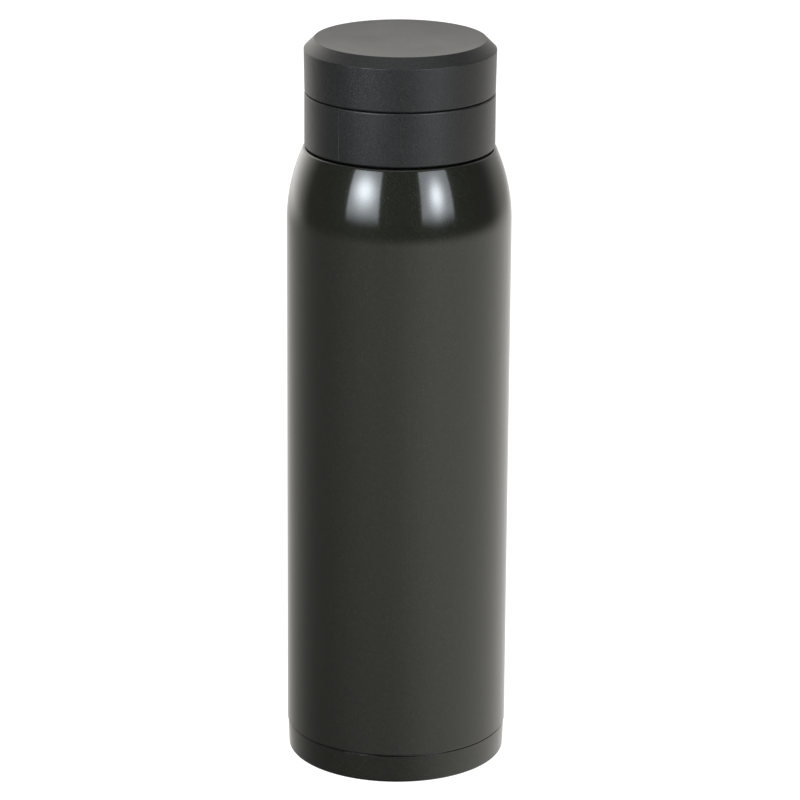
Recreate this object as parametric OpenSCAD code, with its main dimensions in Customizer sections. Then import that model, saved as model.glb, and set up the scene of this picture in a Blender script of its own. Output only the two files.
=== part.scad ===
// Vacuum bottle with a two-stage cap. The lid unscrews from a drinking spout, and the
// stopper that carries the spout unscrews from the wide neck, for filling and cleaning.
// Millimetres. The origin is the centre of the base, and +Z points up through the lid.

/* [Overall] */
// Height of the closed bottle, from its foot to the rim of the lid
total_h = 240.7; // [200:0.1:300]
// Diameter of the steel body
body_d = 72.4; // [71:0.1:80]
// Diameter of the stopper's collar
cap_d = 61.1; // [60.8:0.1:62]

/* [Shoulder] */
// Radius of the shoulder's curve in section
shoulder_r = 58; // [50:1:66]
// Rise of the shoulder, up to its rounded top edge
shoulder_h = 23.3; // [21:0.1:25]
// Rounding of the shoulder's top edge
shoulder_edge_r = 0.9; // [0.7:0.1:1.2]

/* [Base] */
// Height of the band below the groove
band_h = 8.9; // [7:0.1:11]
// How much the band narrows down to the foot
band_lean = 0.36; // [0.1:0.01:0.6]
// Rounding of the band's lower edge
band_edge_r = 0.8; // [0.6:0.1:1.6]
// Height of the groove between the band and the body
groove_h = 0.4; // [0.3:0.1:1.5]
// Depth of the groove below the body's surface
groove_depth = 0.7; // [0.6:0.05:0.9]
// Depth of the recess under the base
recess_h = 2.2; // [1.6:0.1:3]

/* [Steel walls] */
// Thickness of the outer shell and of the base cup
outer_t = 0.4; // [0.3:0.05:0.55]
// Thickness of the inner flask
inner_t = 0.35; // [0.3:0.05:0.5]
// Width of the vacuum jacket beside the flask
jacket_gap = 3.2; // [2:0.1:5]
// Height of the vacuum jacket below the flask
jacket_floor = 11.3; // [8:0.1:16]
// Radius of the flask's shoulder in section
flask_shoulder_r = 35; // [30:1:40]

/* [Neck] */
// Inner diameter of the wide mouth
mouth_d = 48.8; // [48.5:0.1:49]
// Height of the neck above the shoulder, with its rim
neck_h = 13.8; // [13:0.1:14]

/* [Stopper] */
// Height of the collar
collar_h = 17.4; // [17:0.1:19]
// Gap between the shoulder and the collar
collar_gap = 0.6; // [0.5:0.1:1]
// Inner diameter of the drinking spout
spout_d = 35; // [34.5:0.1:35.4]
// Depth of the stopper's plug below its deck
plug_h = 12.3; // [11:0.1:14]

/* [Lid] */
// Height of the lid
lid_h = 17; // [16.8:0.1:20]
// Gap between the collar and the lid
lid_seam = 0.3; // [0.2:0.05:0.4]
// How much wider the lid is at its top than at its foot
lid_flare = 0.25; // [0:0.05:0.4]
// Size of the lid's chamfer
lid_chamfer = 3.25; // [2.5:0.05:3.5]
// Depth of the dish in the lid's top
lid_dish = 1; // [0.4:0.1:1.4]

/* [Threads] */
// Rise of each thread in one turn
thread_lead = 6; // [5:0.5:6]
// Clearance between the crests of one thread and the roots of the other
thread_gap = 0.3; // [0.25:0.05:0.35]

/* [Hidden] */
$fn = 96;

// Levels from the lid down
lid_z = total_h - lid_h;
collar_top_z = lid_z - lid_seam;
collar_z = collar_top_z - collar_h;
ledge_z = collar_z - collar_gap;
rim_z = ledge_z + neck_h;

// Outer shell
body_r = body_d / 2;
shell_foot_z = band_h + groove_h;
shoulder_edge_z = ledge_z - shoulder_edge_r;
shoulder_z = shoulder_edge_z - shoulder_h;
shoulder_angle = asin(shoulder_h / (shoulder_r - shoulder_edge_r));
shoulder_edge_x = body_r - shoulder_r + (shoulder_r - shoulder_edge_r) * cos(shoulder_angle);
groove_r = body_r - groove_depth;

// Base cup
band_inset = 0.22;
band_r = body_r - band_inset;
plate_hem = 1.7;
foot_w = 2.4;
slope_share = 0.4;
spigot_h = 4;
band_top_r = 0.4;
dimple_r = 4.2;
dimple_h = 1.2;
dimple_wall = 1.2;
seal_hole_r = 0.8;
disc_t = 0.5;
disc_margin = 1;
bead_r = 2.4;
bead_h = 1;
plate_top_z = recess_h + outer_t;

// Inner flask, whose neck stands inside the shell's neck
mouth_r = mouth_d / 2;
flask_neck_r = mouth_r + inner_t;
neck_wall_gap = 0.4;
neck_r = flask_neck_r + neck_wall_gap + outer_t;
flask_r = body_r - outer_t - jacket_gap;
flask_z = plate_top_z + jacket_floor;
flask_corner_r = 8;
weld_z = flask_z + flask_corner_r;
flask_neck_drop = 1.2;
flask_top_z = ledge_z - flask_neck_drop;
flask_arc_x = flask_r - flask_shoulder_r;
flask_arc_z = flask_top_z - sqrt(pow(flask_shoulder_r, 2) - pow(flask_neck_r - flask_arc_x, 2));
rim_round_r = 0.2;

// Radiation shield and getter in the vacuum jacket
foil_t = 0.05;
foil_end = 2;
getter_x = 14;
pellet_r = 4.5;
pellet_h = 2.2;
strap_w = 4;
strap_t = 0.3;
strap_foot = 3;
strap_slack = 0.1;

// Neck thread, a single ridge rolled into the steel, and the stopper's ridge that runs below it
neck_ridge_h = 1.1;
neck_ridge_w = 2.2;
neck_ridge_lift = 3.8;
neck_ridge_z = ledge_z + neck_ridge_lift;
neck_ridge_turn = 430;
stopper_ridge_drop = 1.9;
stopper_ridge_z = neck_ridge_z - stopper_ridge_drop;
stopper_ridge_start = 110;
stopper_ridge_turn = 300;

// Stopper
collar_r = cap_d / 2;
collar_flange_t = 1.6;
collar_flange_r = 24.4;
edge_round_r = 0.45;
skirt_t = 1.9;
skirt_lift = 0.4;
skirt_r = neck_r + neck_ridge_h + thread_gap;
skirt_out_r = skirt_r + skirt_t;
skirt_z = collar_z + skirt_lift;
deck_t = 2;
deck_top_z = collar_top_z - collar_flange_t;
deck_z = deck_top_z - deck_t;
plug_z = deck_z - plug_h;
plug_gap = 0.8;
plug_groove_depth = 2.05;
plug_wall = 1.55;
plug_r = mouth_r - plug_gap;
plug_root_r = plug_r - plug_groove_depth;
plug_bore_r = plug_root_r - plug_wall;
spout_wall = 2.9;
spout_rise = 10.3;
spout_bore_r = spout_d / 2;
spout_r = spout_bore_r + spout_wall;
spout_top_z = lid_z + spout_rise;
lip_round_r = 1;
lip_r = spout_bore_r + 2 * lip_round_r;
lip_h = 2.4;
lip_step_z = spout_top_z - lip_h;
lip_step_h = 0.6;
funnel_h = 5.5;

// Lid
lid_inset = 0.05;
lid_wall_t = 1.6;
lid_roof_t = 3.3;
lid_inner_chamfer = 1.2;
lid_foot_r = collar_r - lid_inset;
lid_top_r = lid_foot_r + lid_flare;
lid_rim_r = lid_top_r - lid_chamfer - lid_inset;
lid_wall_r = lid_foot_r - lid_wall_t;
lid_roof_z = total_h - lid_roof_t;
foam_t = 1.6;
foam_slack = 0.1;
liner_t = 1.2;
liner_skirt_t = 1.8;
liner_skirt_drop = 1.3;
liner_top_z = lid_roof_z - foam_t;
liner_z = liner_top_z - liner_t;
liner_skirt_z = lid_z - liner_skirt_drop;
lid_plug_h = 6.6;
lid_plug_gap = 0.6;
lid_plug_groove_depth = 1.7;
lid_plug_wall = 1.5;
lid_plug_z = liner_z - lid_plug_h;
lid_plug_r = spout_bore_r - lid_plug_gap;
lid_plug_root_r = lid_plug_r - lid_plug_groove_depth;

// Spout thread, two ridges moulded half a turn apart, and the liner's ridges that run below them
spout_ridge_h = 1.2;
spout_ridge_w = 1.3;
spout_ridge_lift = 0.5;
spout_ridge_z = lid_z + spout_ridge_lift;
spout_ridge_turn = 288;
spout_starts = 2;
liner_ridge_drop = 1.5;
liner_ridge_z = spout_ridge_z - liner_ridge_drop;
liner_ridge_start = 45;
liner_ridge_turn = 240;
liner_thread_r = spout_r + spout_ridge_h + thread_gap;

// Seals, each free by seal_gap in its groove and against the wall that it wipes
seal_gap = 0.1;
seal_lip = 1.1;
stopper_seal_lift = 2;
stopper_seal_z = plug_z + stopper_seal_lift;
stopper_seal_h = 4;
lid_seal_lift = 1.4;
lid_seal_z = lid_plug_z + lid_seal_lift;
lid_seal_h = 2.8;

// Thread ridges: facets in a turn, steps of fade at each end, how far they root in a wall
ridge_facets = 48;
fade_steps = 3;
ridge_bite = outer_t / 2;
crest_share = 0.45;
fade_sink = 0.12;
arc_steps = 6;
long_arc_steps = 18;

// Points on an arc about centre c from angle a0 to angle a1
function arc(c, r, a0, a1, steps) =
    [for (i = [0:steps]) let (a = a0 + (a1 - a0) * i / steps) c + r * [cos(a), sin(a)]];

function reversed(list) = [for (i = [len(list) - 1:-1:0]) list[i]];

// Solid of revolution about Z from points [radius, height]
module turned(points) {
    rotate_extrude() polygon(points);
}

// Skin of the outer shell at a depth below its surface, from the groove to the neck's top
function shell_skin(depth) = concat(
    arc([groove_r, shell_foot_z + groove_depth], groove_depth - depth, -90, 0, arc_steps),
    arc([body_r - shoulder_r, shoulder_z], shoulder_r - depth, 0, shoulder_angle, long_arc_steps),
    arc([shoulder_edge_x, shoulder_edge_z], shoulder_edge_r - depth, shoulder_angle, 90, arc_steps),
    [[neck_r - depth, ledge_z - depth], [neck_r - depth, rim_z - inner_t]]
);

// Skin of the flask at a depth below its outer surface, from the weld to the neck
function flask_skin(depth) =
    let (reach = acos((flask_neck_r - depth - flask_arc_x) / (flask_shoulder_r - depth)))
    concat(
        [[flask_r - depth, weld_z]],
        arc([flask_arc_x, flask_arc_z], flask_shoulder_r - depth, 0, reach, long_arc_steps)
    );

// Section of a seal ring with two wiping lips, the same above and below its middle
function seal_section(root_r, lip_r, z, h) =
    let (back_r = lip_r - seal_lip, land = h / 8, waist = land / 2)
    [
        [root_r, z],
        [back_r, z],
        [lip_r, z + land],
        [lip_r, z + 2 * land],
        [back_r, z + h / 2 - waist],
        [back_r, z + h / 2 + waist],
        [lip_r, z + h - 2 * land],
        [lip_r, z + h - land],
        [back_r, z + h],
        [root_r, z + h]
    ];

// Corners of a thread ridge's section at angle a. The crest rises from the wall by rise,
// outwards where it is positive, and fades from 1 to 0 where the ridge runs out
function ridge_corners(wall_r, rise, width, a, z, fade) =
    let (
        side = sign(rise),
        root = wall_r - side * ridge_bite,
        crest = wall_r + rise * fade - side * fade_sink * (1 - fade),
        half_root = width / 2,
        half_crest = half_root * crest_share
    )
    [
        for (p = [[root, -side * half_root], [crest, -side * half_crest],
                  [crest, side * half_crest], [root, side * half_root]])
            [p[0] * cos(a), p[0] * sin(a), z + p[1]]
    ];

// Helical thread ridge, from angle a0 through turn degrees, at height z where the angle is 0
module ridge(wall_r, rise, width, z, a0, turn) {
    steps = ceil(turn * ridge_facets / 360);
    points = [
        for (i = [0:steps])
            let (a = a0 + turn * i / steps, fade = min(1, i / fade_steps, (steps - i) / fade_steps))
            each ridge_corners(wall_r, rise, width, a, z + thread_lead * a / 360, fade)
    ];
    sides = [
        for (i = [0:steps - 1], j = [0:3])
            let (k = (j + 1) % 4, near = 4 * i, far = near + 4)
            each [[near + j, near + k, far + k], [near + j, far + k, far + j]]
    ];
    start_cap = [[3, 2, 1], [3, 1, 0]];
    last = 4 * steps;
    end_cap = [[last, last + 1, last + 2], [last, last + 2, last + 3]];
    polyhedron(points, concat(sides, start_cap, end_cap));
}

module outer_shell() {
    color("#2c2a27") {
        turned(concat(shell_skin(0), reversed(shell_skin(outer_t))));
        ridge(neck_r, neck_ridge_h, neck_ridge_w, neck_ridge_z, 0, neck_ridge_turn);
    }
}

// Pressed cup: a recessed plate with a dimple for the seal, a flat foot, the band, and a
// spigot that fits inside the shell behind the groove
module base_cup() {
    foot_out = band_r - band_lean - band_edge_r;
    foot_in = foot_out - foot_w;
    plate_r = foot_in - plate_hem;
    slope_shift = outer_t * slope_share;
    foot_centre = [foot_out, band_edge_r];
    band_top = [band_r - band_top_r, band_h - band_top_r];
    color("#2c2a27") turned(concat(
        [
            [seal_hole_r, recess_h + dimple_h],
            [dimple_r - dimple_wall, recess_h + dimple_h],
            [dimple_r, recess_h],
            [plate_r, recess_h],
            [foot_in, 0]
        ],
        arc(foot_centre, band_edge_r, -90, 0, arc_steps),
        arc(band_top, band_top_r, 0, 90, arc_steps),
        [
            [groove_r, band_h],
            [groove_r, shell_foot_z + spigot_h],
            [groove_r - outer_t, shell_foot_z + spigot_h],
            [groove_r - outer_t, band_h - outer_t],
            [band_r - outer_t, band_h - 2 * outer_t]
        ],
        arc(foot_centre, band_edge_r - outer_t, 0, -90, arc_steps),
        [
            [foot_in + slope_shift, outer_t],
            [plate_r + slope_shift, plate_top_z],
            [dimple_r + slope_shift, plate_top_z],
            [dimple_r - dimple_wall + slope_shift, plate_top_z + dimple_h],
            [seal_hole_r, plate_top_z + dimple_h]
        ]
    ));
}

// Plain disc over the seal, bonded to the recessed plate
module base_disc() {
    disc_r = band_r - band_lean - band_edge_r - foot_w - plate_hem - disc_margin;
    color("silver")
        translate([0, 0, recess_h - disc_t])
            cylinder(r = disc_r, h = disc_t);
}

// Bead of braze that closes the evacuation hole
module vacuum_seal_bead() {
    color("goldenrod") {
        translate([0, 0, recess_h + dimple_h - bead_h])
            cylinder(r1 = bead_r / 2, r2 = bead_r, h = bead_h);
        translate([0, 0, recess_h + dimple_h])
            cylinder(r = seal_hole_r, h = outer_t);
    }
}

// Flask wall, shoulder and neck in one piece, with a rim turned out over the shell's neck
module inner_flask() {
    color("lightgray") turned(concat(
        flask_skin(0),
        [
            [flask_neck_r, rim_z - inner_t],
            [neck_r, rim_z - inner_t]
        ],
        arc([neck_r - rim_round_r, rim_z - rim_round_r], rim_round_r, 0, 90, arc_steps),
        arc([mouth_r + inner_t, rim_z - inner_t], inner_t, 90, 180, arc_steps),
        reversed(flask_skin(inner_t))
    ));
}

// Dished bottom of the flask, butt welded to its wall
module inner_base() {
    corner = [flask_r - flask_corner_r, weld_z];
    color("lightgray") turned(concat(
        [[0, flask_z]],
        arc(corner, flask_corner_r, -90, 0, arc_steps),
        arc(corner, flask_corner_r - inner_t, 0, -90, arc_steps),
        [[0, flask_z + inner_t]]
    ));
}

// Foil wrapped round the flask to turn back radiant heat
module copper_foil() {
    foil_z = weld_z + foil_end;
    foil_top = flask_arc_z - foil_end;
    color("peru") turned([
        [flask_r, foil_z],
        [flask_r + foil_t, foil_z],
        [flask_r + foil_t, foil_top],
        [flask_r, foil_top]
    ]);
}

module bottom_foil() {
    color("peru")
        translate([0, 0, flask_z - foil_t])
            cylinder(r = flask_r - flask_corner_r - foil_end, h = foil_t);
}

// Strap bent over the getter pellet, its feet welded to the base cup
module getter_clip() {
    leg = pellet_r + strap_slack;
    out = leg + strap_t;
    color("silver")
        translate([getter_x, strap_w / 2, plate_top_z])
            rotate([90, 0, 0])
                linear_extrude(strap_w)
                    polygon([
                        [-out - strap_foot, 0],
                        [-out - strap_foot, strap_t],
                        [-out, strap_t],
                        [-out, pellet_h + strap_t],
                        [out, pellet_h + strap_t],
                        [out, strap_t],
                        [out + strap_foot, strap_t],
                        [out + strap_foot, 0],
                        [leg, 0],
                        [leg, pellet_h],
                        [-leg, pellet_h],
                        [-leg, 0]
                    ]);
}

module getter_pellet() {
    color("dimgray")
        translate([getter_x, 0, plate_top_z])
            cylinder(r = pellet_r, h = pellet_h);
}

// Threaded skirt and deck of the stopper, moulded round the hole that the spout stands in
module stopper_body() {
    color("#34353a") {
        turned([
            [skirt_r, skirt_z],
            [skirt_out_r, skirt_z],
            [skirt_out_r, deck_top_z],
            [spout_r, deck_top_z],
            [spout_r, deck_z],
            [skirt_r, deck_z]
        ]);
        ridge(skirt_r, -neck_ridge_h, neck_ridge_w, stopper_ridge_z,
              stopper_ridge_start, stopper_ridge_turn);
    }
}

// Tube welded up into the deck: plug with its seal groove, funnel, and drinking spout
module drinking_spout() {
    groove_z = stopper_seal_z - seal_gap;
    groove_top = stopper_seal_z + stopper_seal_h + seal_gap;
    lip_centre = [lip_r - lip_round_r, spout_top_z - lip_round_r];
    color("#34353a") {
        turned(concat(
            [
                [plug_bore_r, plug_z],
                [plug_r, plug_z],
                [plug_r, groove_z],
                [plug_root_r, groove_z],
                [plug_root_r, groove_top],
                [plug_r, groove_top],
                [plug_r, deck_z],
                [spout_r, deck_z],
                [spout_r, lip_step_z],
                [lip_r, lip_step_z + lip_step_h]
            ],
            arc(lip_centre, lip_round_r, 0, 180, 2 * arc_steps),
            [
                [spout_bore_r, deck_top_z],
                [plug_bore_r, deck_top_z - funnel_h]
            ]
        ));
        for (i = [0:spout_starts - 1])
            rotate([0, 0, 360 * i / spout_starts])
                ridge(spout_r, spout_ridge_h, spout_ridge_w, spout_ridge_z, 0, spout_ridge_turn);
    }
}

// Sleeve that the hand turns, bonded round the stopper's skirt and over its deck
module stopper_collar() {
    foot = collar_r - edge_round_r;
    color("#26272b") turned(concat(
        [[skirt_out_r, collar_z]],
        arc([foot, collar_z + edge_round_r], edge_round_r, -90, 0, arc_steps),
        arc([foot, collar_top_z - edge_round_r], edge_round_r, 0, 90, arc_steps),
        [
            [collar_flange_r + edge_round_r, collar_top_z],
            [collar_flange_r, collar_top_z - edge_round_r],
            [collar_flange_r, deck_top_z],
            [skirt_out_r, deck_top_z]
        ]
    ));
}

module stopper_gasket() {
    root_r = plug_root_r + seal_gap;
    color("gainsboro")
        turned(seal_section(root_r, mouth_r - seal_gap, stopper_seal_z, stopper_seal_h));
}

// Outer cap: a wall that widens upwards, a chamfer, and a dished top
module lid_shell() {
    dish_r = (pow(lid_rim_r, 2) + pow(lid_dish, 2)) / (2 * lid_dish);
    dish_angle = asin(lid_rim_r / dish_r);
    dish_centre = [0, total_h - lid_dish + dish_r];
    color("#2b2c30") turned(concat(
        [[lid_wall_r, lid_z]],
        arc([lid_foot_r - edge_round_r, lid_z + edge_round_r], edge_round_r, -90, 0, arc_steps),
        [[lid_top_r, total_h - lid_chamfer]],
        arc(dish_centre, dish_r, dish_angle - 90, -90, long_arc_steps),
        [
            [0, lid_roof_z],
            [lid_wall_r - lid_inner_chamfer, lid_roof_z],
            [lid_wall_r, lid_roof_z - lid_inner_chamfer]
        ]
    ));
}

// Inner cap: threaded skirt, closing disc, and a hollow plug that enters the spout
module lid_liner() {
    groove_z = lid_seal_z - seal_gap;
    groove_top = lid_seal_z + lid_seal_h + seal_gap;
    skirt_out = liner_thread_r + liner_skirt_t;
    hollow_r = lid_plug_root_r - lid_plug_wall;
    hollow_z = lid_plug_z + lid_plug_wall;
    color("#3a3b3f") {
        turned([
            [0, lid_plug_z],
            [lid_plug_r, lid_plug_z],
            [lid_plug_r, groove_z],
            [lid_plug_root_r, groove_z],
            [lid_plug_root_r, groove_top],
            [lid_plug_r, groove_top],
            [lid_plug_r, liner_z],
            [liner_thread_r, liner_z],
            [liner_thread_r, liner_skirt_z],
            [skirt_out, liner_skirt_z],
            [skirt_out, liner_z],
            [lid_wall_r, liner_z],
            [lid_wall_r, liner_top_z],
            [hollow_r, liner_top_z],
            [hollow_r, hollow_z],
            [0, hollow_z]
        ]);
        for (i = [0:spout_starts - 1])
            rotate([0, 0, 360 * i / spout_starts])
                ridge(liner_thread_r, -spout_ridge_h, spout_ridge_w, liner_ridge_z,
                      liner_ridge_start, liner_ridge_turn);
    }
}

// Foam that fills the lid between its two caps
module lid_insulation() {
    plug_foam_r = lid_plug_root_r - lid_plug_wall - foam_slack;
    plug_foam_z = lid_plug_z + lid_plug_wall;
    disc_foam_r = lid_wall_r - lid_inner_chamfer - foam_slack;
    color("white") turned([
        [0, plug_foam_z],
        [plug_foam_r, plug_foam_z],
        [plug_foam_r, liner_top_z],
        [disc_foam_r, liner_top_z],
        [disc_foam_r, lid_roof_z],
        [0, lid_roof_z]
    ]);
}

module lid_gasket() {
    root_r = lid_plug_root_r + seal_gap;
    color("gainsboro")
        turned(seal_section(root_r, spout_bore_r - seal_gap, lid_seal_z, lid_seal_h));
}

outer_shell();
base_cup();
base_disc();
vacuum_seal_bead();
inner_flask();
inner_base();
copper_foil();
bottom_foil();
getter_clip();
getter_pellet();
stopper_body();
drinking_spout();
stopper_collar();
stopper_gasket();
lid_shell();
lid_liner();
lid_insulation();
lid_gasket();
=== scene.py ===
import math

import bpy
import numpy as np
from mathutils import Matrix, Vector

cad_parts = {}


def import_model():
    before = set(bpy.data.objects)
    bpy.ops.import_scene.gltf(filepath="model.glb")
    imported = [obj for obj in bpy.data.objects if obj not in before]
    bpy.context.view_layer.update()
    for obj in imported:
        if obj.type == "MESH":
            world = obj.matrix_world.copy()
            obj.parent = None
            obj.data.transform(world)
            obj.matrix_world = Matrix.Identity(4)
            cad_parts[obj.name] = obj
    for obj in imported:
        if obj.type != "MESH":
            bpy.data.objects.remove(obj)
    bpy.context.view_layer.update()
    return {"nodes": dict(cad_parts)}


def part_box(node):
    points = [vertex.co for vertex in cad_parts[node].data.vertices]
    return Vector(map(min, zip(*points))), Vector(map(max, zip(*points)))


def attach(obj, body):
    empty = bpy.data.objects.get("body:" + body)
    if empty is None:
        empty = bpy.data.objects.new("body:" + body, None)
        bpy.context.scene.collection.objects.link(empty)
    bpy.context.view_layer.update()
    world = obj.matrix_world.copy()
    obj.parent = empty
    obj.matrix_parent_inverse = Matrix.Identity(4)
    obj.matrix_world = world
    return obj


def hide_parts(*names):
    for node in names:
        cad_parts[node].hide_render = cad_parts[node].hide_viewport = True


# Looks of a vacuum bottle with a two-stage cap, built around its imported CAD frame. Every visible
# shell is a solid of revolution, turned here from a rounded section. Sections are in millimetres,
# as (radius, height) points, and the meshes that come out of them are in metres.

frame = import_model()

MM = 0.001

# How finely the pieces are turned: facets in a turn, how far a supporting ring stands from an
# edge, the ring spacing where a thread runs, and the angle above which an edge is sharp
AROUND = 256
SUPPORT = 0.12
THREAD_STEP = 0.11
SHARP = math.radians(38)


# ---- places, from the frame ----------------------------------------------------------------

def span(node):
    """(outer radius, lowest height, highest height) of a CAD node, in millimetres."""
    low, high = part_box(node)
    return high.y / MM, low.z / MM, high.z / MM


BODY_R, SHELL_FOOT, NECK_TOP = span("outer_shell")
BAND_R, _, SPIGOT_TOP = span("base_cup")
FLASK_R, WELD_Z, RIM_Z = span("inner_flask")
_, FLASK_FLOOR, _ = span("inner_base")
DISC_R, DISC_Z, DISC_TOP = span("base_disc")
COLLAR_R, COLLAR_Z, COLLAR_TOP = span("stopper_collar")
SKIRT_OUT_R, SKIRT_Z, DECK_TOP = span("stopper_body")
PLUG_R, PLUG_Z, SPOUT_TOP = span("drinking_spout")
SEAL_R, SEAL_Z, SEAL_TOP = span("stopper_gasket")
LID_R, LID_Z, LID_TOP = span("lid_shell")
LID_WALL_R, LINER_Z, LINER_TOP = span("lid_liner")
LID_SEAL_R, LID_SEAL_Z, LID_SEAL_TOP = span("lid_gasket")

# Sizes that the boxes don't give, the same as the CAD model's
SHELL_T = 0.4
FLASK_T = RIM_Z - NECK_TOP
SHOULDER_R = 58.0
SHOULDER_RISE = 23.3
SHOULDER_EDGE = 0.9
COLLAR_GAP = 0.6
EDGE_ROUND = 0.45
GROOVE_DEPTH = 0.7
MOUTH_R = 24.4
NECK_WALL_GAP = 0.4
DECK_T = 2.0
SPOUT_BORE_R = 17.5
SPOUT_R = 20.4
PLUG_ROOT_R = 21.55
LID_PLUG_ROOT_R = 15.2
SEAL_GAP = 0.1
LEAD = 6.0

# Places that follow from them
NECK_R = MOUTH_R + FLASK_T + NECK_WALL_GAP + SHELL_T
LEDGE_Z = COLLAR_Z - COLLAR_GAP
GROOVE_R = BODY_R - GROOVE_DEPTH
SHOULDER_Z = LEDGE_Z - SHOULDER_EDGE - SHOULDER_RISE
DECK_Z = DECK_TOP - DECK_T


# ---- sections ------------------------------------------------------------------------------

def arc(centre, radius, start, end, steps):
    """Points on an arc, both ends included. Angles are in degrees."""
    angles = np.radians(np.linspace(start, end, steps + 1))
    return [(centre[0] + radius * math.cos(a), centre[1] + radius * math.sin(a)) for a in angles]


def rounded(corners, steps=5):
    """Closed section from (radius, height, fillet) corners, each fillet a true arc."""
    points = []
    count = len(corners)
    for i, (r, z, fillet) in enumerate(corners):
        here = np.array((r, z))
        if not fillet:
            points.append((r, z))
            continue
        back = np.array(corners[i - 1][:2]) - here
        on = np.array(corners[(i + 1) % count][:2]) - here
        back /= np.linalg.norm(back)
        on /= np.linalg.norm(on)
        half = math.acos(max(-1.0, min(1.0, float(back @ on)))) / 2
        centre = here + (back + on) / np.linalg.norm(back + on) * (fillet / math.sin(half))
        first = here + back * (fillet / math.tan(half)) - centre
        last = here + on * (fillet / math.tan(half)) - centre
        turn = math.atan2(first[0] * last[1] - first[1] * last[0], float(first @ last))
        for k in range(steps + 1):
            a = turn * k / steps
            c, s = math.cos(a), math.sin(a)
            points.append((centre[0] + first[0] * c - first[1] * s,
                           centre[1] + first[0] * s + first[1] * c))
    return points


def supported(points, fine):
    """Adds a point close to both ends of each long stretch, so that shading stays flat there,
    and points every THREAD_STEP on upright stretches inside the fine height ranges."""
    closest = 0.02
    out = []
    for (r0, z0), (r1, z1) in zip(points, points[1:] + points[:1]):
        out.append((r0, z0))
        length = math.hypot(r1 - r0, z1 - z0)
        if length < 4 * SUPPORT:
            continue
        shares = [SUPPORT / length, 1 - SUPPORT / length]
        if abs(r1 - r0) < 1e-6:
            for low, high in fine:
                a, b = max(low, min(z0, z1)), min(high, max(z0, z1))
                if b - a > THREAD_STEP:
                    heights = np.linspace(a, b, int((b - a) / THREAD_STEP) + 1)
                    shares += [abs(h - z0) / length for h in heights]
        shares = sorted(s for s in shares if 1e-4 < s < 1 - 1e-4)
        last = -1.0
        for s in shares:
            if s - last > closest / length:
                out.append((r0 + (r1 - r0) * s, z0 + (z1 - z0) * s))
                last = s
    return out


def around(seam=None):
    """Angles of the facets round a turned piece. A seam gets close-set ones beside it."""
    angles = np.arange(AROUND) * 2 * math.pi / AROUND
    if seam is not None:
        reach, margin, count = 0.9, 1.1, 13
        near = seam + np.radians(np.linspace(-reach, reach, count))
        clear = np.abs((angles - seam + math.pi) % (2 * math.pi) - math.pi) > np.radians(margin)
        angles = np.concatenate([angles[clear], near % (2 * math.pi)])
    return np.sort(angles)


def turned(name, section, body, node, material, relief=None, fine=(), seam=None):
    """A closed mesh turned from a section, with one vertex where the section meets the axis.
    relief(r, z, angles) says how far a ring's points move outwards."""
    points = supported(section, fine)
    angles = around(seam)
    n = len(angles)
    cos, sin = np.cos(angles), np.sin(angles)
    verts, rings = [], []
    for r, z in points:
        if r < 1e-6:
            rings.append((len(verts), True))
            verts.append((0.0, 0.0, z * MM))
            continue
        radius = r + (relief(r, z, angles) if relief else 0.0) * np.ones(n)
        rings.append((len(verts), False))
        verts += list(zip(radius * cos * MM, radius * sin * MM, np.full(n, z * MM)))
    area = sum(a[0] * b[1] - b[0] * a[1] for a, b in zip(points, points[1:] + points[:1]))
    faces = []
    for (a, pole_a), (b, pole_b) in zip(rings, rings[1:] + rings[:1]):
        if pole_a and pole_b:
            continue
        for j in range(n):
            k = (j + 1) % n
            if pole_a:
                face = (a, b + k, b + j)
            elif pole_b:
                face = (a + j, a + k, b)
            else:
                face = (a + j, a + k, b + k, b + j)
            faces.append(face if area > 0 else face[::-1])
    mesh = bpy.data.meshes.new(name)
    mesh.from_pydata(verts, [], faces)
    mesh.validate()
    mesh.shade_smooth()
    mesh.set_sharp_from_angle(angle=SHARP)
    mesh.materials.append(material)
    piece = bpy.data.objects.new(name, mesh)
    bpy.context.scene.collection.objects.link(piece)
    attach(piece, body)
    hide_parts(node)
    return piece


def smooth(t):
    """Rises smoothly from 0 to 1 as t does."""
    t = np.clip(t, 0.0, 1.0)
    return t * t * (3 - 2 * t)


def thread(wall_r, height, width, start_z, start, turn, starts, flat):
    """Relief of helical ridges on an upright wall. height is negative where they point inwards,
    start_z is where a ridge's line crosses angle 0, start and turn are in degrees, and flat is
    the share of the width that the crest takes up."""
    run_out = math.radians(18)
    most_turns = 3

    def relief(r, z, angles):
        if abs(r - wall_r) > 0.01:
            return np.zeros(len(angles))
        total = np.zeros(len(angles))
        for s in range(starts):
            for k in range(most_turns):
                a = (angles - 2 * math.pi * s / starts) % (2 * math.pi) + 2 * math.pi * k
                into = np.minimum(a - math.radians(start), math.radians(start + turn) - a)
                off = np.abs(z - (start_z + LEAD * a / (2 * math.pi)))
                across = smooth((width / 2 - off) / (width / 2 * (1 - flat)))
                total = np.maximum(total, smooth(into / run_out) * across)
        return height * total

    return relief


# ---- materials -----------------------------------------------------------------------------

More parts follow.
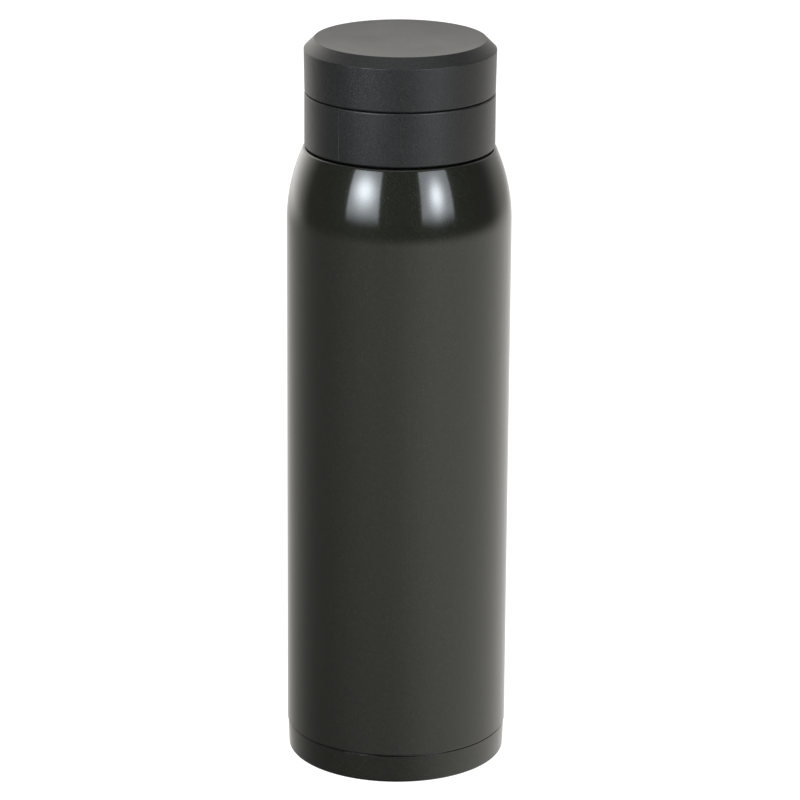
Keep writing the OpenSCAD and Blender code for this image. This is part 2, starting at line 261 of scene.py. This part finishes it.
class Graph:
    """A node tree with short ways of adding the nodes used here."""

    def __init__(self, tree):
        self.nodes, self.links = tree.nodes, tree.links

    def node(self, kind, inputs=None, **properties):
        made = self.nodes.new(kind)
        for key, value in properties.items():
            setattr(made, key, value)
        for key, value in (inputs or {}).items():
            if isinstance(value, bpy.types.NodeSocket):
                self.links.new(value, made.inputs[key])
            else:
                made.inputs[key].default_value = value
        return made

    def math(self, operation, a, b=0.0, c=0.0):
        return self.node("ShaderNodeMath", {0: a, 1: b, 2: c}, operation=operation).outputs[0]

    def vector(self, operation, a, b=(0.0, 0.0, 0.0)):
        return self.node("ShaderNodeVectorMath", {0: a, 1: b}, operation=operation).outputs

    def ramp(self, value, stops, interpolation="LINEAR"):
        made = self.node("ShaderNodeValToRGB", {"Fac": value})
        ramp = made.color_ramp
        ramp.interpolation = interpolation
        while len(ramp.elements) < len(stops):
            ramp.elements.new(0.5)
        for element, (position, colour) in zip(ramp.elements, stops):
            element.position = position
            element.color = (*colour, 1.0)
        return made.outputs["Color"]

    def step(self, value, low, high):
        """Rises smoothly from 0 to 1 between low and high."""
        return self.node("ShaderNodeMapRange", {"Value": value, "From Min": low, "From Max": high},
                         interpolation_type="SMOOTHSTEP").outputs["Result"]

    def mix(self, share, a, b):
        made = self.node("ShaderNodeMix", {0: share, 6: a, 7: b}, data_type="RGBA")
        return made.outputs[2]


class Material(Graph):
    """A node material with one Principled shader. Settings that are even all over go straight
    on the shader's own sockets."""

    def __init__(self, name, **settings):
        self.material = bpy.data.materials.new(name)
        self.material.use_nodes = True
        super().__init__(self.material.node_tree)
        self.shader = self.nodes["Principled BSDF"]
        for key, value in settings.items():
            self.shader.inputs[key.replace("_", " ")].default_value = value
        self.place = self.node("ShaderNodeTexCoord").outputs["Object"]

    def noise(self, scale, detail=2.0, vector=None):
        return self.node("ShaderNodeTexNoise", {"Vector": vector or self.place, "Scale": scale,
                                                "Detail": detail}).outputs["Fac"]

    def cells(self, scale):
        return self.node("ShaderNodeTexVoronoi",
                         {"Vector": self.place, "Scale": scale}).outputs["Color"]

    def spread(self, value, low, high):
        """Maps 0..1 to low..high."""
        return self.node("ShaderNodeMapRange",
                         {"Value": value, "To Min": low, "To Max": high}).outputs["Result"]

    def set(self, key, value):
        self.links.new(value, self.shader.inputs[key])

    def bump(self, height, strength, distance, into="Normal"):
        made = self.node("ShaderNodeBump", {"Height": height, "Strength": strength,
                                            "Distance": distance}).outputs["Normal"]
        self.set(into, made)


def body_paint():
    """Charcoal metallic paint: fine flake under a clear coat with a little orange peel."""
    m = Material("body_paint", Metallic=0.35, Specular_IOR_Level=0.0, Coat_Weight=1.0,
                 Coat_Roughness=0.1, Coat_IOR=1.5)
    m.set("Base Color", m.ramp(m.cells(4000.0), [(0.1, (0.0062, 0.0066, 0.0046)),
                                                 (0.6, (0.0106, 0.0111, 0.0082)),
                                                 (0.95, (0.0178, 0.0182, 0.014))]))
    m.set("Roughness", m.spread(m.noise(60.0), 0.4, 0.5))
    m.bump(m.noise(170.0, 1.0), 0.015, 0.0004, into="Coat Normal")
    return m.material


def cap_plastic():
    """Charcoal polypropylene with a fine spark-eroded grain."""
    m = Material("cap_plastic", Specular_IOR_Level=0.36)
    m.set("Base Color", m.ramp(m.noise(2800.0, 1.0), [(0.3, (0.0025, 0.0025, 0.0026)),
                                                      (0.7, (0.015, 0.015, 0.0145))]))
    m.set("Roughness", m.spread(m.noise(60.0, 4.0), 0.29, 0.41))
    m.bump(m.noise(3200.0, 2.0), 0.7, 0.0001)
    return m.material


def inner_plastic():
    """Dark polypropylene of the spout and the liner, smoother than the outside of the cap."""
    m = Material("inner_plastic", Specular_IOR_Level=0.4)
    m.set("Base Color", m.ramp(m.noise(500.0, 3.0), [(0.3, (0.016, 0.0163, 0.0172)),
                                                     (0.7, (0.022, 0.0224, 0.0235))]))
    m.set("Roughness", m.spread(m.noise(90.0, 2.0), 0.28, 0.38))
    m.bump(m.noise(1500.0, 2.0), 0.12, 0.00004)
    return m.material


def polished_steel():
    """Electropolished stainless steel with faint turning rings."""
    m = Material("polished_steel", Metallic=1.0)
    rings = m.noise(1.0, 3.0, m.vector("MULTIPLY", m.place, (18.0, 18.0, 2600.0))[0])
    m.set("Base Color", m.ramp(rings, [(0.35, (0.5, 0.49, 0.47)), (0.65, (0.64, 0.63, 0.61))]))
    m.set("Roughness", m.spread(m.noise(220.0), 0.14, 0.26))
    m.bump(rings, 0.1, 0.00003)
    return m.material


def brushed_disc():
    """Stainless sheet brushed in circles."""
    m = Material("bare_steel", Metallic=1.0)
    flat = m.vector("MULTIPLY", m.place, (1.0, 1.0, 0.0))[0]
    radius = m.vector("LENGTH", flat)["Value"]
    rings = m.noise(3500.0, 4.0, m.node("ShaderNodeCombineXYZ", {"X": radius}).outputs[0])
    m.set("Base Color", m.ramp(rings, [(0.3, (0.42, 0.41, 0.4)), (0.7, (0.62, 0.61, 0.59))]))
    m.set("Roughness", m.spread(rings, 0.26, 0.42))
    m.bump(rings, 0.2, 0.00003)
    return m.material


def silicone():
    """Milky silicone rubber."""
    m = Material("silicone", Subsurface_Weight=0.25, Subsurface_Scale=0.002, IOR=1.41)
    m.set("Base Color", m.ramp(m.noise(300.0, 2.0), [(0.3, (0.66, 0.66, 0.64)),
                                                     (0.7, (0.76, 0.76, 0.74))]))
    m.set("Roughness", m.spread(m.noise(500.0, 2.0), 0.38, 0.5))
    m.bump(m.noise(900.0, 2.0), 0.08, 0.00004)
    return m.material


def copper_foil():
    """Rolled copper foil, crinkled where it was wrapped by hand."""
    m = Material("copper", Metallic=1.0)
    m.set("Base Color", m.ramp(m.noise(90.0, 3.0), [(0.3, (0.62, 0.3, 0.18)),
                                                    (0.7, (0.8, 0.42, 0.28))]))
    m.set("Roughness", m.spread(m.noise(200.0), 0.2, 0.35))
    m.bump(m.noise(120.0, 4.0), 0.5, 0.0003)
    return m.material


def braze():
    """Brass-coloured braze, a little lumpy."""
    m = Material("braze", Metallic=1.0)
    m.set("Base Color", m.ramp(m.noise(700.0, 3.0), [(0.3, (0.45, 0.36, 0.2)),
                                                     (0.7, (0.66, 0.55, 0.34))]))
    m.set("Roughness", m.spread(m.noise(900.0), 0.25, 0.45))
    m.bump(m.noise(800.0, 3.0), 0.3, 0.0001)
    return m.material


def getter_powder():
    """Pressed and sintered getter powder."""
    m = Material("getter", Metallic=0.4)
    m.set("Base Color", m.ramp(m.cells(4000.0), [(0.2, (0.1, 0.1, 0.105)),
                                                 (0.8, (0.26, 0.26, 0.27))]))
    m.set("Roughness", m.spread(m.noise(2500.0), 0.6, 0.85))
    m.bump(m.cells(4000.0), 0.5, 0.0001)
    return m.material


def foam():
    """Closed-cell foam."""
    m = Material("foam")
    m.set("Base Color", m.ramp(m.cells(1500.0), [(0.2, (0.72, 0.72, 0.7)),
                                                 (0.8, (0.88, 0.88, 0.86))]))
    m.set("Roughness", m.spread(m.noise(800.0), 0.8, 0.95))
    m.bump(m.cells(1500.0), 0.6, 0.0003)
    return m.material


PAINT = body_paint()
CAP = cap_plastic()
INNER = inner_plastic()
POLISHED = polished_steel()
BRUSHED = brushed_disc()
SILICONE = silicone()


# ---- pieces --------------------------------------------------------------------------------

def shoulder_skin(depth):
    """The painted shell's section at a depth below its surface, from the groove to the ledge."""
    reach = math.degrees(math.asin(SHOULDER_RISE / (SHOULDER_R - SHOULDER_EDGE)))
    edge_r = BODY_R - SHOULDER_R + (SHOULDER_R - SHOULDER_EDGE) * math.cos(math.radians(reach))
    curl = (GROOVE_R, SHELL_FOOT + GROOVE_DEPTH)
    middle = (BODY_R - SHOULDER_R, SHOULDER_Z)
    edge = (edge_r, LEDGE_Z - SHOULDER_EDGE)
    return (arc(curl, GROOVE_DEPTH - depth, -90, 0, 8)
            + arc(middle, SHOULDER_R - depth, 0, reach, 72)
            + arc(edge, SHOULDER_EDGE - depth, reach, 90, 8)[1:])


def outer_shell():
    """One pressed shell in two pieces: the painted body, and the bare neck with its thread."""
    paint_end = NECK_R + 1.5
    skin = shoulder_skin(0) + [(paint_end, LEDGE_Z), (paint_end, LEDGE_Z - SHELL_T)]
    skin += shoulder_skin(SHELL_T)[::-1]
    turned("shell_body", skin, "vessel", "outer_shell", PAINT)
    neck = rounded([
        (paint_end, LEDGE_Z - SHELL_T, 0),
        (paint_end, LEDGE_Z, 0),
        (NECK_R, LEDGE_Z, 0.7),
        (NECK_R, NECK_TOP, 0),
        (NECK_R - SHELL_T, NECK_TOP, 0),
        (NECK_R - SHELL_T, LEDGE_Z - SHELL_T, 0.3),
    ])
    ridge_z = LEDGE_Z + 3.8
    turned("shell_neck", neck, "vessel", "outer_shell", POLISHED,
           relief=thread(NECK_R, height=1.1, width=2.3, start_z=ridge_z, start=0, turn=430,
                         starts=1, flat=0.15),
           fine=[(ridge_z - 1.4, NECK_TOP - 0.4)])


def base_cup():
    """Pressed cup with a dimple in its recessed plate, a foot, the band under the groove, and
    the spigot inside the shell. The outside comes first, and then the inside, t deeper."""
    t = SHELL_T
    lean, foot_edge, foot_w, hem, recess = 0.36, 0.8, 2.4, 1.7, 2.2
    hole_r, dimple_r, dimple_wall, dimple_h = 0.8, 4.2, 1.2, 1.2
    groove_gap, band_edge = 0.1, 0.05
    slope = 0.4 * t
    foot_out = BAND_R - lean
    foot_in = foot_out - foot_edge - foot_w
    plate_r = foot_in - hem
    band_top = SHELL_FOOT - groove_gap
    section = rounded([
        (hole_r, recess + dimple_h, 0),
        (dimple_r - dimple_wall, recess + dimple_h, 0.3),
        (dimple_r, recess, 0.5),
        (plate_r, recess, 0.8),
        (foot_in, 0, 0.5),
        (foot_out, 0, foot_edge),
        (BAND_R, band_top, band_edge),
        (GROOVE_R, band_top, 0),
        (GROOVE_R, SPIGOT_TOP, 0),
        (GROOVE_R - t, SPIGOT_TOP, 0),
        (GROOVE_R - t, band_top - t, 0),
        (BAND_R - t, band_top - 2 * t, 0),
        (foot_out - t, t, foot_edge - t),
        (foot_in + slope, t, 0),
        (plate_r + slope, recess + t, 0),
        (dimple_r + slope, recess + t, 0),
        (dimple_r - dimple_wall + slope, recess + t + dimple_h, 0),
        (hole_r, recess + t + dimple_h, 0),
    ], 8)
    turned("base_cup_skin", section, "vessel", "base_cup", PAINT)


def base_disc():
    """Bare disc over the sealing hole, its lower edge rounded."""
    section = rounded([
        (0, DISC_Z, 0),
        (DISC_R, DISC_Z, 0.18),
        (DISC_R, DISC_TOP, 0),
        (0, DISC_TOP, 0),
    ], 4)
    turned("base_disc_plate", section, "vessel", "base_disc", BRUSHED)


def flask_skin(depth):
    """The flask's section at a depth below its outer surface, from the weld to the neck."""
    bend, neck_drop = 35.0, 1.2
    neck = MOUTH_R + FLASK_T
    centre_r = FLASK_R - bend
    centre_z = LEDGE_Z - neck_drop - math.sqrt(bend ** 2 - (neck - centre_r) ** 2)
    reach = math.degrees(math.acos((neck - depth - centre_r) / (bend - depth)))
    return [(FLASK_R - depth, WELD_Z)] + arc((centre_r, centre_z), bend - depth, 0, reach, 48)


def inner_flask():
    """The flask's wall, with its rim turned out over the shell's neck, and its dished base."""
    rim_edge = 0.2
    rim = arc((NECK_R - rim_edge, RIM_Z - rim_edge), rim_edge, 0, 90, 4)
    lip = arc((MOUTH_R + FLASK_T, RIM_Z - FLASK_T), FLASK_T, 90, 180, 6)
    section = (flask_skin(0) + [(MOUTH_R + FLASK_T, NECK_TOP), (NECK_R, NECK_TOP)]
               + rim + lip + flask_skin(FLASK_T)[::-1])
    turned("inner_flask_wall", section, "vessel", "inner_flask", POLISHED)
    corner = WELD_Z - FLASK_FLOOR
    middle = (FLASK_R - corner, WELD_Z)
    dish = ([(0, FLASK_FLOOR)] + arc(middle, corner, -90, 0, 14)
            + arc(middle, corner - FLASK_T, 0, -90, 14) + [(0, FLASK_FLOOR + FLASK_T)])
    turned("inner_base_dish", dish, "vessel", "inner_base", POLISHED)


PARTING_LINE = math.radians(231)


def parting_relief(r, z, angles):
    """A fine mould line up one side of the collar, a little prouder at its foot."""
    least, more, half_w, skin = 0.05, 0.04, 0.1, 0.3
    if r < COLLAR_R - skin:
        return np.zeros(len(angles))
    off = ((angles - PARTING_LINE + math.pi) % (2 * math.pi) - math.pi) * COLLAR_R
    proud = least + more * (COLLAR_TOP - z) / (COLLAR_TOP - COLLAR_Z)
    return proud * np.exp(-(off / half_w) ** 2)


def stopper_collar():
    """Sleeve round the stopper's skirt, with a flange over its deck."""
    flange_r = 24.4
    section = rounded([
        (SKIRT_OUT_R, COLLAR_Z, 0.15),
        (COLLAR_R, COLLAR_Z, EDGE_ROUND),
        (COLLAR_R, COLLAR_TOP, EDGE_ROUND),
        (flange_r, COLLAR_TOP, EDGE_ROUND),
        (flange_r, DECK_TOP, 0),
        (SKIRT_OUT_R, DECK_TOP, 0),
    ])
    turned("collar_sleeve", section, "stopper", "stopper_collar", CAP,
           relief=parting_relief, seam=PARTING_LINE)


def stopper_body():
    """Threaded skirt and the deck that the spout stands in."""
    skirt_t = 1.9
    skirt_r = SKIRT_OUT_R - skirt_t
    section = rounded([
        (skirt_r, SKIRT_Z, 0.3),
        (SKIRT_OUT_R, SKIRT_Z, 0.2),
        (SKIRT_OUT_R, DECK_TOP, 0),
        (SPOUT_R, DECK_TOP, 0),
        (SPOUT_R, DECK_Z, 0),
        (skirt_r, DECK_Z, 0.4),
    ])
    ridge_z = LEDGE_Z + 1.9
    turned("stopper_skirt", section, "stopper", "stopper_body", INNER,
           relief=thread(skirt_r, height=-1.1, width=2.2, start_z=ridge_z, start=110, turn=300,
                         starts=1, flat=0.3),
           fine=[(SKIRT_Z + 0.4, ridge_z + 8.4)])


def drinking_spout():
    """Plug with its seal groove, a funnel inside it, and the threaded spout with a rolled lip."""
    plug_bore = 20.0
    groove_z, groove_top = SEAL_Z - SEAL_GAP, SEAL_TOP + SEAL_GAP
    lip_r, lip_edge = SPOUT_BORE_R + 2.0, 0.98
    step_z = SPOUT_TOP - 2.4
    section = rounded([
        (plug_bore, PLUG_Z, 0.5),
        (PLUG_R, PLUG_Z, 0.4),
        (PLUG_R, groove_z, 0.15),
        (PLUG_ROOT_R, groove_z, 0),
        (PLUG_ROOT_R, groove_top, 0),
        (PLUG_R, groove_top, 0.15),
        (PLUG_R, DECK_Z, 0),
        (SPOUT_R, DECK_Z, 0),
        (SPOUT_R, step_z, 0.4),
        (lip_r, step_z + 0.6, 0.5),
        (lip_r, SPOUT_TOP, lip_edge),
        (SPOUT_BORE_R, SPOUT_TOP, lip_edge),
        (SPOUT_BORE_R, DECK_TOP, 3.0),
        (plug_bore, DECK_TOP - 5.5, 3.0),
    ], 8)
    ridge_z = LID_Z + 0.5
    turned("drinking_spout_tube", section, "stopper", "drinking_spout", INNER,
           relief=thread(SPOUT_R, height=1.2, width=1.35, start_z=ridge_z, start=0, turn=288,
                         starts=2, flat=0.35),
           fine=[(ridge_z - 0.8, ridge_z + 5.7)])


def seal(name, groove_r, lip, low, high, body, node):
    """Silicone ring with two wiping lips, from a groove's root out to the lips' radius."""
    root = groove_r + SEAL_GAP
    back, land = lip - 1.1, (high - low) / 8
    section = rounded([
        (root, low, 0.15),
        (back, low, 0.2),
        (lip, low + land, 0.18),
        (lip, low + 2 * land, 0.12),
        (back, low + 3.4 * land, 0.25),
        (back, low + 4.6 * land, 0.25),
        (lip, low + 6 * land, 0.12),
        (lip, low + 7 * land, 0.18),
        (back, high, 0.2),
        (root, high, 0.15),
    ], 4)
    turned(name, section, body, node, SILICONE)


def seals():
    """The stopper's seal and the lid's, each in its groove."""
    seal("stopper_seal_ring", PLUG_ROOT_R, SEAL_R, SEAL_Z, SEAL_TOP,
         "stopper_seal", "stopper_gasket")
    seal("lid_seal_ring", LID_PLUG_ROOT_R, LID_SEAL_R, LID_SEAL_Z, LID_SEAL_TOP,
         "lid_seal", "lid_gasket")


def lid_shell():
    """Outer cap: it widens a little upwards, then has a crisp chamfer and a dished top."""
    inset, chamfer, dish, roof_t = 0.05, 3.25, 1.0, 3.3
    inner_chamfer = 1.2
    foot_r = COLLAR_R - inset
    rim_r = LID_R - chamfer - inset
    roof = LID_TOP - roof_t
    curve = (rim_r ** 2 + dish ** 2) / (2 * dish)
    tilt = math.degrees(math.asin(rim_r / curve))
    outside = rounded([
        (LID_WALL_R, LID_Z, 0.2),
        (foot_r, LID_Z, EDGE_ROUND),
        (LID_R, LID_TOP - chamfer, 0.3),
        (rim_r, LID_TOP, 0.22),
        (0, LID_TOP - dish / 2, 0),
        (0, roof, 0),
        (LID_WALL_R - inner_chamfer, roof, 0),
        (LID_WALL_R, roof - inner_chamfer, 0),
    ], 6)
    top = arc((0, LID_TOP - dish + curve), curve, tilt - 90, -90, 40)
    at = outside.index((0, LID_TOP - dish / 2))
    between = [p for p in top if 0.1 < p[0] < rim_r - 0.6]
    section = outside[:at] + between + [(0, top[-1][1])] + outside[at + 1:]
    turned("lid_cap", section, "lid", "lid_shell", CAP)


def lid_liner():
    """Threaded skirt, closing disc, and the hollow plug that enters the spout."""
    thread_r, skirt_t, disc_t, plug_h = 21.9, 1.8, 1.2, 6.6
    skirt_out = thread_r + skirt_t
    disc_z = LINER_TOP - disc_t
    plug_z = disc_z - plug_h
    plug_r, wall = 16.9, 1.5
    section = rounded([
        (0, plug_z, 0),
        (plug_r, plug_z, 0.6),
        (plug_r, LID_SEAL_Z - SEAL_GAP, 0.15),
        (LID_PLUG_ROOT_R, LID_SEAL_Z - SEAL_GAP, 0),
        (LID_PLUG_ROOT_R, LID_SEAL_TOP + SEAL_GAP, 0),
        (plug_r, LID_SEAL_TOP + SEAL_GAP, 0.15),
        (plug_r, disc_z, 0.3),
        (thread_r, disc_z, 0.3),
        (thread_r, LINER_Z, 0.3),
        (skirt_out, LINER_Z, 0.3),
        (skirt_out, disc_z, 0.6),
        (LID_WALL_R, disc_z, 0),
        (LID_WALL_R, LINER_TOP, 0),
        (LID_PLUG_ROOT_R - wall, LINER_TOP, 0),
        (LID_PLUG_ROOT_R - wall, plug_z + wall, 0),
        (0, plug_z + wall, 0),
    ])
    ridge_z = LID_Z - 1.0
    turned("lid_liner_cup", section, "lid", "lid_liner", INNER,
           relief=thread(thread_r, height=-1.2, width=1.35, start_z=ridge_z, start=45, turn=240,
                         starts=2, flat=0.35),
           fine=[(LINER_Z + 0.4, ridge_z + 5.8)])


outer_shell()
base_cup()
base_disc()
inner_flask()
stopper_collar()
stopper_body()
drinking_spout()
seals()
lid_shell()
lid_liner()

# Pieces sealed inside keep their CAD shapes and get their own materials
COPPER = copper_foil()
for node, material in {
    "copper_foil": COPPER,
    "bottom_foil": COPPER,
    "getter_clip": BRUSHED,
    "getter_pellet": getter_powder(),
    "vacuum_seal_bead": braze(),
    "lid_insulation": foam(),
}.items():
    slots = frame["nodes"][node].data.materials
    slots.clear()
    slots.append(material)


# ---- studio --------------------------------------------------------------------------------

def card_of(name, half_w, half_h):
    """A flat stage card with an empty node tree, sizes in metres. Returns (card, its tree)."""
    corners = [(-half_w, -half_h, 0), (half_w, -half_h, 0), (half_w, half_h, 0),
               (-half_w, half_h, 0)]
    mesh = bpy.data.meshes.new(name)
    mesh.from_pydata(corners, [], [(0, 1, 2, 3)])
    material = bpy.data.materials.new(name)
    material.use_nodes = True
    material.node_tree.nodes.clear()
    mesh.materials.append(material)
    card = bpy.data.objects.new(name, mesh)
    bpy.context.scene.collection.objects.link(card)
    return card, Graph(material.node_tree)


def floor():
    """White floor that still takes a faint shadow. It is clear from below, and glossy surfaces
    see the world's table in its place."""
    half = 4.0
    card, g = card_of("floor", half, half)
    matt = g.node("ShaderNodeBsdfDiffuse", {"Color": (0.3, 0.3, 0.3, 1.0)}).outputs[0]
    glow = g.node("ShaderNodeEmission", {"Strength": 0.93}).outputs[0]
    top = g.node("ShaderNodeAddShader", {0: matt, 1: glow}).outputs[0]
    clear = g.node("ShaderNodeBsdfTransparent").outputs[0]
    below = g.node("ShaderNodeNewGeometry").outputs["Backfacing"]
    both = g.node("ShaderNodeMixShader", {0: below, 1: top, 2: clear}).outputs[0]
    g.node("ShaderNodeOutputMaterial", {"Surface": both})
    card.visible_glossy = False


def softbox(name, azimuth, lamp_z, lamp_w, lamp_strength, cloth_strength):
    """A standing softbox a metre away, facing in. azimuth is from the front, towards +X, and
    lengths are in metres. The lamp shows through the cloth as a soft oval spot, and the cloth's
    own glow fades towards its foot."""
    half_w, half_h, foot = 0.31, 0.39, 0.12
    lamp_h, fade = 0.17, 0.2
    cool = (0.93, 0.998, 1.07, 1.0)
    card, g = card_of(name, half_w, half_h)
    place = g.node("ShaderNodeTexCoord").outputs["Object"]
    axes = g.node("ShaderNodeSeparateXYZ", {0: place}).outputs
    height = g.math("ADD", axes["Y"], foot + half_h)

    def bell(value, centre, width):
        """Rises to 1 at the centre, and falls to 1/e at width from it."""
        off = g.math("DIVIDE", g.math("SUBTRACT", value, centre), width)
        return g.math("EXPONENT", g.math("MULTIPLY", g.math("MULTIPLY", off, off), -1.0))

    spot = g.math("MULTIPLY", bell(axes["X"], 0.0, lamp_w), bell(height, lamp_z, lamp_h))
    cloth = g.math("MULTIPLY", g.step(height, foot, foot + fade), cloth_strength)
    strength = g.math("MULTIPLY_ADD", spot, lamp_strength, cloth)
    glow = g.node("ShaderNodeEmission", {"Color": cool, "Strength": strength})
    g.node("ShaderNodeOutputMaterial", {"Surface": glow.outputs[0]})
    a = math.radians(azimuth)
    inward = Vector((-math.sin(a), math.cos(a), 0))
    upward = Vector((0, 0, 1))
    turn = Matrix((upward.cross(inward), upward, inward)).transposed().to_4x4()
    card.matrix_world = Matrix.Translation(Vector((0, 0, foot + half_h)) - inward) @ turn
    card.visible_camera = False
    card.visible_shadow = False


def world():
    """Studio surroundings: white for the camera. For the light they are, from below upwards, the
    shade under the object, a pale table that is dimmer on the left, a room that is dark in front
    with a bright sweep behind, and an even ceiling."""
    made = bpy.data.worlds.new("studio")
    bpy.context.scene.world = made
    made.use_nodes = True
    made.node_tree.nodes.clear()
    g = Graph(made.node_tree)
    place = g.node("ShaderNodeTexCoord").outputs["Generated"]
    axes = g.node("ShaderNodeSeparateXYZ", {0: place}).outputs
    angle = g.math("ARCTAN2", axes["X"], g.math("MULTIPLY", axes["Y"], -1.0))
    turn = g.math("MULTIPLY_ADD", angle, 0.5 / math.pi, 0.5)

    warm = (0.5, 0.492, 0.47)

    def ring(stops):
        """Brightness round the compass, from (degrees towards +X from the front, level). Levels
        are halved and a little warm here, and doubled again by the background."""
        return g.ramp(turn, [((degrees + 180) / 360, [level * share for share in warm])
                             for degrees, level in stops], "EASE")

    def zone(low, high):
        """Rises from 0 to 1 between two elevations in degrees."""
        return g.step(axes["Z"], math.sin(math.radians(low)), math.sin(math.radians(high)))

    shade = ring([(-180, 0.5), (-90, 0.05), (0, 0.05), (90, 1.2), (180, 0.5)])
    table = ring([(-180, 0.95), (-85, 0.3), (-20, 0.65), (45, 1.2), (130, 1.3), (180, 0.95)])
    room = ring([(-180, 1.0), (-145, 1.9), (-103, 0.1), (103, 0.1), (135, 0.7), (180, 1.0)])
    ceiling = (0.55, 0.55, 0.55, 1.0)
    studio = g.mix(zone(-36, -16), shade, table)
    studio = g.mix(zone(-15, -8), studio, room)
    studio = g.mix(zone(52, 68), studio, ceiling)
    light = g.node("ShaderNodeBackground", {"Color": studio, "Strength": 2.0}).outputs[0]
    white = g.node("ShaderNodeBackground", {"Color": (1.0, 1.0, 1.0, 1.0)}).outputs[0]
    seen = g.node("ShaderNodeLightPath").outputs["Is Camera Ray"]
    both = g.node("ShaderNodeMixShader", {0: seen, 1: light, 2: white}).outputs[0]
    g.node("ShaderNodeOutputWorld", {"Surface": both})


def camera():
    """Looks down a little from the front, from far enough to keep the sides nearly upright."""
    pitch, yaw, roll = math.radians(17.9), math.radians(0.03), math.radians(0.4)
    away, height = 1.2327, 0.5182
    data = bpy.data.cameras.new("camera")
    data.sensor_width = 36.0
    data.lens = 178.6
    made = bpy.data.objects.new("camera", data)
    bpy.context.scene.collection.objects.link(made)
    level = Vector((math.sin(yaw), math.cos(yaw), 0))
    ahead = level * math.cos(pitch) - Vector((0, 0, math.sin(pitch)))
    right = Vector((math.cos(yaw), -math.sin(yaw), 0))
    up = right.cross(ahead)
    leaned_right = right * math.cos(roll) + up * math.sin(roll)
    leaned_up = up * math.cos(roll) - right * math.sin(roll)
    turn = Matrix((leaned_right, leaned_up, -ahead)).transposed().to_4x4()
    made.matrix_world = Matrix.Translation((0, -away, height)) @ turn
    bpy.context.scene.camera = made


floor()
softbox("softbox_left", azimuth=-38, lamp_z=0.53, lamp_w=0.2, lamp_strength=20.0,
        cloth_strength=4.0)
softbox("softbox_right", azimuth=40, lamp_z=0.47, lamp_w=0.13, lamp_strength=19.0,
        cloth_strength=4.0)
world()
camera()
bpy.context.scene.view_settings.view_transform = "Standard"
